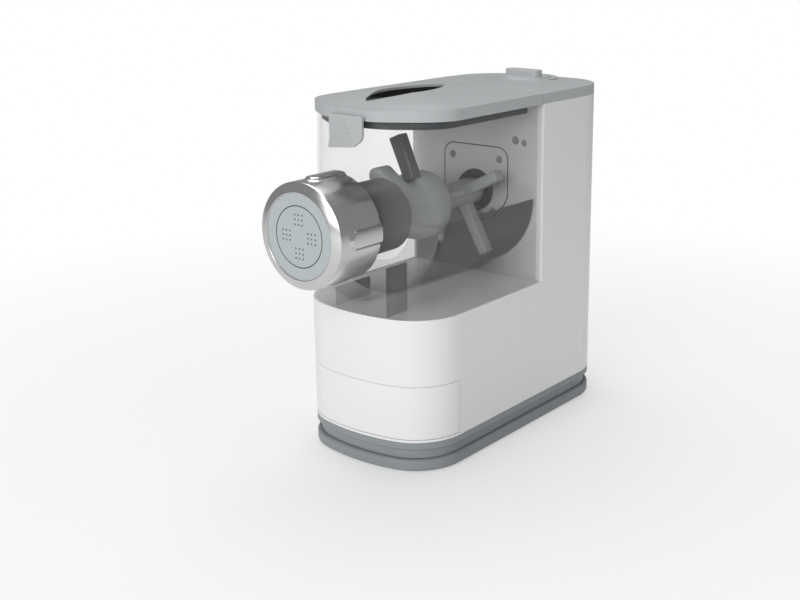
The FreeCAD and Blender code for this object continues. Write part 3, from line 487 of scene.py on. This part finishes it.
def turned(section, steps, closed=True):
    """Spins a list of (radius, distance forward) in millimetres round the drive axis."""
    bm = bmesh.new()
    verts = [bm.verts.new((0.0, -f * MM, AXIS_Z + r * MM)) for r, f in section]
    for one, two in zip(verts, verts[1:]):
        bm.edges.new((one, two))
    if closed:
        bm.edges.new((verts[-1], verts[0]))
    bmesh.ops.spin(bm, geom=bm.verts[:] + bm.edges[:], cent=(0.0, 0.0, AXIS_Z),
                   axis=(0.0, 1.0, 0.0), angle=math.tau, steps=steps, use_merge=True)
    bmesh.ops.remove_doubles(bm, verts=bm.verts, dist=0.001 * MM)
    bmesh.ops.recalc_face_normals(bm, faces=bm.faces)
    return bm


def push(bm, extruded, shift):
    """Moves what an extrude made."""
    verts = [g for g in extruded["geom"] if isinstance(g, bmesh.types.BMVert)]
    bmesh.ops.translate(bm, verts=verts, vec=shift)


def slab(bm, outline, place, depth):
    """Pushes a flat outline to a slab; place turns (x, y, depth) into millimetres of the frame."""
    face = bm.faces.new([bm.verts.new([c * MM for c in place(x, y, 0.0)]) for x, y in outline])
    pushed = bmesh.ops.extrude_face_region(bm, geom=[face])
    push(bm, pushed, (Vector(place(0.0, 0.0, depth)) - Vector(place(0.0, 0.0, 0.0))) * MM)
    bmesh.ops.recalc_face_normals(bm, faces=bm.faces)


def soften(bm, width, segments, angle=35.0):
    """Rounds the edges where faces meet at more than the angle."""
    sharp = [e for e in bm.edges
             if len(e.link_faces) == 2 and e.calc_face_angle(0.0) > math.radians(angle)]
    bmesh.ops.bevel(bm, geom=sharp, offset=width, segments=segments, affect="EDGES",
                    profile=0.5, material=-1)


def cut_at(bm, point, normal, clear_outer=False):
    bmesh.ops.bisect_plane(bm, geom=bm.verts[:] + bm.edges[:] + bm.faces[:], plane_co=point,
                           plane_no=normal, clear_outer=clear_outer)


# %% [markdown]
# The steel nut is the eye-catcher. A lathe makes it in real life, so here its section is drawn once
# and spun round the drive axis. Four low grip lobes are pressed out of its wall: the wall has fine
# rows of vertices, and each vertex moves outwards by the height of the lobe at its place.

# %% Steel nut
NUT_R, NUT_REAR, NUT_FRONT = 39.2, 113.2, 157.5
NUT_BORE, NUT_LIP_R = 35.6, 31.4
LOBE_HALF, LOBE_SIDE, LOBE_RISE, LOBE_LENGTH = 7.6, 2.6, 1.95, 26.0

wall = [(NUT_R, NUT_REAR + 0.5 + k * 0.75) for k in range(53)]
front_ring = [(NUT_R, 154.2), (39.0, 154.75), (38.6, 155.05), (35.0, 156.4), (32.6, 157.35),
              (32.0, NUT_FRONT), (31.55, 157.3), (NUT_LIP_R, 156.9), (NUT_LIP_R, 156.55)]
inside = [(33.3, 156.55), (33.3, 152.5), (NUT_BORE, 152.5)]
nut_bm = turned([(NUT_BORE, NUT_REAR), (38.7, NUT_REAR)] + wall + front_ring + inside, 320)


def press_lobe(v):
    x, z = v.co.x, v.co.z - AXIS_Z
    r, f = math.hypot(x, z) / MM, -v.co.y / MM
    if r < 38.6 or f > 152.0:
        return
    turn = math.degrees(math.atan2(x, z))
    off = math.radians(abs((turn + 45.0) % 90.0 - 45.0)) * NUT_R
    reach = math.hypot(off, max(0.0, f - (NUT_REAR + LOBE_LENGTH)))
    grow = (r + LOBE_RISE * ease((LOBE_HALF - reach) / LOBE_SIDE)) / r
    v.co.x, v.co.z = x * grow, AXIS_Z + z * grow


for v in nut_bm.verts:
    press_lobe(v)
to_piece("steel_nut", nut_bm, nut_steel, "nut", ("clamp_nut",), 24.0)

# %% [markdown]
# The disc is moulded plastic with four groups of nine holes and one fine groove. The imported disc
# has true holes, so it is kept, and the groove is a narrow ring of painted shade with a bump in its
# finish.

# %% Disc
DISC_COLOR, GROOVE_SHADE_COLOR = (0.44, 0.48, 0.49), (0.05, 0.055, 0.06)
GROOVE_R, GROOVE_HALF = 22.4, 0.55


def ring_mask(f, radius, at, half):
    """One on a ring of a given radius, and zero beyond its half width."""
    away = f.node("ShaderNodeMath", {"operation": "ABSOLUTE"}, {0: radius - at * MM})
    return f.ramp(away, half * MM, half * MM * 0.4)


groove = Finish("disc_grooved", DISC_COLOR, 0.45)
from_axis = groove.vector("SUBTRACT", groove.here(), (0.0, 0.0, AXIS_Z))
radius = groove.vector("LENGTH", groove.vector("MULTIPLY", from_axis, (1.0, 0.0, 1.0)), out="Value")
# One ring mask gives the groove its bump and its painted shade.
line = ring_mask(groove, radius, GROOVE_R, GROOVE_HALF)
groove.drive("Base Color", groove.tint(line, DISC_COLOR, GROOVE_SHADE_COLOR))
groove.bump(line * -1.0 + groove.grain(PEEL_SCALE) * 0.05, 0.6, 0.4 * MM)
dressed("shaping_disc", groove.material, 0.0)

# %% [markdown]
# The pouring slot looks dark: a guard wall hangs below its rim, and its near-black finish is
# painted shade.
# Its outline is the same lens as the slot: two arcs that meet in points, pulled down and given a
# wall.

# %% Slot guard
SLOT_Y, SLOT_LEN, SLOT_HALF = -36.0, 47.0, 17.0
SLOT_ARC_R = (SLOT_LEN ** 2 + SLOT_HALF ** 2) / (2.0 * SLOT_HALF)
GUARD_GAP, GUARD_DROP, GUARD_WALL, GUARD_STEPS = 0.15, 19.0, 1.2, 28


def slot_outline(steps, gap):
    """Points of the slot's outline in millimetres, one arc after the other, a gap inside it."""
    half = math.asin(SLOT_LEN / SLOT_ARC_R)
    turns = [half * (2.0 * k / steps - 1.0) for k in range(steps)]
    side = [(SLOT_ARC_R * (math.cos(t) - math.cos(half)), SLOT_ARC_R * math.sin(t)) for t in turns]
    ring = side + [(-x, -y) for x, y in side]
    return [(x * (1.0 - gap / SLOT_HALF), SLOT_Y + y * (1.0 - gap / SLOT_LEN)) for x, y in ring]


def in_slot(v):
    return (abs(v.co.x) < (SLOT_HALF + 0.5) * MM
            and abs(v.co.y / MM - SLOT_Y) < SLOT_LEN + 0.5)


slot_wall = [v.co.z / MM for v in nodes["lid_panel"].data.vertices if in_slot(v)]
guard_top = min(z for z in slot_wall if z > max(slot_wall) - 2.0) - 0.15
guard_bm = bmesh.new()
rim = [guard_bm.verts.new((x * MM, y * MM, guard_top * MM))
       for x, y in slot_outline(GUARD_STEPS, GUARD_GAP)]
edges = [guard_bm.edges.new((one, two)) for one, two in zip(rim, rim[1:] + rim[:1])]
push(guard_bm, bmesh.ops.extrude_edge_only(guard_bm, edges=edges), (0.0, 0.0, -GUARD_DROP * MM))
bmesh.ops.recalc_face_normals(guard_bm, faces=guard_bm.faces)
bmesh.ops.solidify(guard_bm, geom=guard_bm.faces[:], thickness=GUARD_WALL * MM)
# The guard's near-black finish is painted shade inside the slot.
to_piece("slot_guard", guard_bm, black_plastic, "lid")

# %% [markdown]
# The latch hangs from the front of the lid. Its real lower lip flares out and its right corner is
# cut away. One flat outline is pushed to a slab, and the rows near the lip lean forwards.

# %% Latch
LATCH_Y, LATCH_THICK = -103.2, 3.2
LATCH_TOP, LATCH_BEND, LATCH_LEAN = 270.6, 252.5, 0.30
LATCH_OUTLINE = [(-16.0, LATCH_TOP), (16.2, LATCH_TOP), (16.2, 257.0), (14.5, 253.0),
                 (9.0, 248.8), (6.0, 248.0), (-16.0, 246.1)]
TRIANGLE_OUTLINE = [(-4.2, 257.6), (4.2, 257.6), (0.0, 266.0)]

latch_bm = bmesh.new()
slab(latch_bm, LATCH_OUTLINE, lambda x, z, d: (x, LATCH_Y - d, z), LATCH_THICK)
for height in (LATCH_BEND, LATCH_BEND - 2.5):
    cut_at(latch_bm, (0.0, 0.0, height * MM), (0.0, 0.0, 1.0))
soften(latch_bm, 0.9 * MM, 3)
for v in latch_bm.verts:
    v.co.y -= max(0.0, LATCH_BEND - v.co.z / MM) * LATCH_LEAN * MM
to_piece("latch_tab", latch_bm, lid_gray, "latch", ("lid_latch",))

mark_bm = bmesh.new()
slab(mark_bm, TRIANGLE_OUTLINE, lambda x, z, d: (x, LATCH_Y - 3.0 - d, z), 0.6)
mark_front = [f for f in mark_bm.faces if f.normal.y < -0.9]
bmesh.ops.inset_region(mark_bm, faces=mark_front, thickness=1.0 * MM, depth=-0.45 * MM)
to_piece("latch_triangle", mark_bm, lid_gray, "latch")

# %% [markdown]
# The paddle stirs in front of the tower. Its core is a waisted hub and a round drum that runs into
# the tube, and both are spun as one section.

# %% Paddle core
HUB = [(0.0, -49.4), (10.6, -49.4), (11.0, -48.8), (11.0, -30.0), (10.2, -18.0), (10.4, -6.0),
       (12.0, 3.0), (14.5, 8.0), (21.0, 11.5), (25.6, 14.0)]
DRUM = [(26.9, 18.0), (27.0, 24.0), (26.4, 32.0), (24.5, 37.0), (23.2, 42.0), (23.0, 60.0)]
PADDLE_NOSE = [(13.0, 68.0), (13.0, 136.0), (7.0, 146.9), (0.0, 146.9)]
paddle_bm = turned(HUB + DRUM + PADDLE_NOSE, 96, closed=False)
to_piece("paddle_core", paddle_bm, paddle_gray, "paddle", ("stirring_paddle",), 40.0)

# %% [markdown]
# Two flat arms stand on the hub, one blade stands on the drum and a low fin lies between them. All
# four are blocks with softened edges, turned into place about the drive axis.


# %% Paddle arms
def arm(r0, r1, half_w, f0, f1, taper, aside):
    """A softened block from one radius to another; aside moves it off the axis."""
    bm = bmesh.new()
    bmesh.ops.create_cube(bm, size=1.0)
    for v in bm.verts:
        along, side, ahead = v.co.x + 0.5, v.co.y, v.co.z + 0.5
        width = half_w * 2.0 * (1.0 + (taper - 1.0) * along)
        v.co = Vector((r0 + (r1 - r0) * along, side * width + aside, f0 + (f1 - f0) * ahead))
    soften(bm, 1.5, 4)
    return bm


def turn_on_axis(bm, angle):
    """Takes (along, side, ahead) in millimetres to the frame, turned about the drive axis."""
    c, n = math.cos(math.radians(angle)), math.sin(math.radians(angle))
    for v in bm.verts:
        a, b, f = v.co
        v.co = Vector(((a * c - b * n) * MM, -f * MM, AXIS_Z + (a * n + b * c) * MM))
    bmesh.ops.recalc_face_normals(bm, faces=bm.faces)


# Each row holds the finish, the angle, and the sizes of the arm in millimetres.
ARMS = {
    "paddle_arm_upper": (paddle_gray, 27.0, (6.0, 43.0, 4.6, -37.0, -26.0, 0.92, 0.0)),
    "paddle_arm_lower": (paddle_gray, -61.0, (6.0, 53.5, 4.5, -37.0, -27.0, 0.92, 0.0)),
    # The blade takes the paddle's gray darkened as painted shade.
    "paddle_blade": (blade_painted_shade, 114.0, (18.0, 54.0, 5.4, 37.0, 47.0, 1.1, -18.9)),
    "paddle_fin": (paddle_gray, 20.0, (8.0, 19.0, 3.0, -14.0, 14.0, 0.8, 0.0)),
}
for name, (material, angle, sizes) in ARMS.items():
    arm_bm = arm(*sizes)
    turn_on_axis(arm_bm, angle)
    to_piece(name, arm_bm, material, "paddle")

# %% [markdown]
# The scraper in front of the drum is a thick pill. A circle is pulled apart into a pill, pushed to
# its depth, rounded and tilted.

# %% Paddle scraper
PILL_R, PILL_STRETCH, PILL_DEPTH = 6.2, 10.2, 17.0
PILL_RISE, PILL_AHEAD, PILL_TILT = 22.4, 49.0, math.radians(-36.0)

scraper_bm = bmesh.new()
bmesh.ops.create_circle(scraper_bm, cap_ends=True, segments=40, radius=PILL_R)
for v in scraper_bm.verts:
    if abs(v.co.y) > 1e-6:
        v.co.y += math.copysign(PILL_STRETCH, v.co.y)
push(scraper_bm, bmesh.ops.extrude_face_region(scraper_bm, geom=scraper_bm.faces[:]),
     (0.0, 0.0, PILL_DEPTH))
bmesh.ops.recalc_face_normals(scraper_bm, faces=scraper_bm.faces)
soften(scraper_bm, 1.6, 4)
for v in scraper_bm.verts:
    up, side, f = v.co.x, v.co.y, v.co.z + PILL_AHEAD
    x = side * math.cos(PILL_TILT) - up * math.sin(PILL_TILT)
    z = side * math.sin(PILL_TILT) + up * math.cos(PILL_TILT) + PILL_RISE
    v.co = Vector((x * MM, -f * MM, AXIS_Z + z * MM))
bmesh.ops.recalc_face_normals(scraper_bm, faces=scraper_bm.faces)
to_piece("paddle_scraper", scraper_bm, paddle_gray, "paddle")

# %% [markdown]
# Under the trough the clear moulding is stiffened with thin upright ribs, and the trough ends in a
# half ring round the tube.

# %% Chamber ribs and trough end
RIB_FRONT, RIB_FOOT, RIB_THICK = -99.5, 122.4, 1.1
TROUGH_R, TUBE_HOLE_R, TROUGH_END_F, TROUGH_END_THICK = 59.6, 34.2, 73.0, 1.6


def rib(name, x, rear, top):
    bm = bmesh.new()
    slab(bm, [(RIB_FRONT, RIB_FOOT), (rear, RIB_FOOT), (rear, top), (RIB_FRONT, top)],
         lambda y, z, d: (x + d, y, z), RIB_THICK)
    soften(bm, 0.25 * MM, 2)
    to_piece(name, bm, rib_smoke, "chamber")


rib("chamber_rib_right", 30.6, -76.5, 160.0)
rib("chamber_rib_left", -20.6, -60.5, 137.0)

end_front = TROUGH_END_F + TROUGH_END_THICK
end_bm = turned([(TUBE_HOLE_R, TROUGH_END_F), (TROUGH_R, TROUGH_END_F),
                 (TROUGH_R, end_front), (TUBE_HOLE_R, end_front)], 96)
cut_at(end_bm, (0.0, 0.0, AXIS_Z - 2.0 * MM), (0.0, 0.0, 1.0), clear_outer=True)
bmesh.ops.holes_fill(end_bm, edges=[e for e in end_bm.edges if e.is_boundary])
to_piece("trough_end", end_bm, trough_smoke, "chamber")

# %% [markdown]
# A thin dark gasket edges the plate behind the paddle. It is a border round the plate's own front
# faces, raised a little, so it follows the plate's outline and its hole.

# %% Plate gasket
GASKET_WIDTH, GASKET_RISE = 0.8, 0.15

gasket_bm = welded(nodes["seal_plate"].data)
plate_front = min(v.co.y for v in gasket_bm.verts)


def on_plate_front(face):
    return face.normal.y <= -0.9 and face.calc_center_median().y <= plate_front + 0.1 * MM


bmesh.ops.delete(gasket_bm, geom=[f for f in gasket_bm.faces if not on_plate_front(f)],
                 context="FACES")
middle = gasket_bm.faces[:]
bmesh.ops.inset_region(gasket_bm, faces=middle, thickness=GASKET_WIDTH * MM, use_boundary=True,
                       use_even_offset=True)
bmesh.ops.delete(gasket_bm, geom=middle, context="FACES")
push(gasket_bm, bmesh.ops.extrude_face_region(gasket_bm, geom=gasket_bm.faces[:]),
     (0.0, -GASKET_RISE * MM, 0.0))
bmesh.ops.recalc_face_normals(gasket_bm, faces=gasket_bm.faces)
to_piece("plate_gasket", gasket_bm, black_plastic, "housing")

# %% [markdown]
# Four screws hold the plate, and three moulding marks sit near it on the tower.
# Each is a short turned button, so one helper places them all.

# %% Plate screws and tower marks
PLATE_Y, TOWER_Y = 52.0, 51.9


def button(name, x, y, z, r, rise):
    place = Matrix.Translation((x * MM, (y - rise / 2.0) * MM, z * MM))
    facing_front = Matrix.Rotation(math.radians(90.0), 4, "X")
    bm = bmesh.new()
    bmesh.ops.create_cone(bm, cap_ends=True, segments=32, radius1=r * MM, radius2=r * 0.82 * MM,
                          depth=rise * MM, matrix=place @ facing_front)
    bmesh.ops.recalc_face_normals(bm, faces=bm.faces)
    to_piece(name, bm, mark_gray, "housing")


for k, (x, z) in enumerate(((-24.0, 218.0), (24.0, 218.0), (-17.5, 174.0), (17.5, 174.0))):
    button("plate_screw_%d" % (k + 1), x, PLATE_Y, z, 3.1, 0.7)
for k, (x, z) in enumerate(((40.0, 235.5), (48.5, 234.0), (-25.0, 241.0))):
    button("tower_mark_%d" % (k + 1), x, TOWER_Y, z, 3.4 - k * 0.8, 0.5)

# %% [markdown]
# The floor is a plain pale sheet. It stays nearly white in the picture and keeps the soft shadow:
# to the camera it glows a little, and more so with distance from the machine.

# %% Floor
FLOOR_HALF = 40.0
GLOW_NEAR, GLOW_FAR, GLOW_START, GLOW_END = 0.45, 1.0, 0.16, 0.75


def floor_finish():
    f = Finish("floor_pale", (0.93, 0.93, 0.93), 0.7)
    glow = f.node("ShaderNodeEmission", {}, {"Color": (1.0, 1.0, 1.0, 1.0), "Strength": 1.0})
    camera_ray = f.node("ShaderNodeLightPath", {}, {}, "Is Camera Ray")
    far = f.ramp(f.vector("LENGTH", f.here(), out="Value"), GLOW_START, GLOW_END)
    mixed = f.node("ShaderNodeMixShader", {}, {
        "Fac": camera_ray * (far * (GLOW_FAR - GLOW_NEAR) + GLOW_NEAR),
        1: Wire(f, f.shader.outputs[0]), 2: glow})
    f.tree.links.new(mixed.socket, f.tree.nodes["Material Output"].inputs["Surface"])
    return f.material


floor_bm = bmesh.new()
bmesh.ops.create_grid(floor_bm, x_segments=1, y_segments=1, size=FLOOR_HALF)
floor_mesh = bpy.data.meshes.new("floor")
floor_bm.to_mesh(floor_mesh)
floor_bm.free()
floor_mesh.materials.append(floor_finish())
floor = bpy.data.objects.new("floor", floor_mesh)
scene.collection.objects.link(floor)
print("floor is", 2.0 * FLOOR_HALF, "m wide")
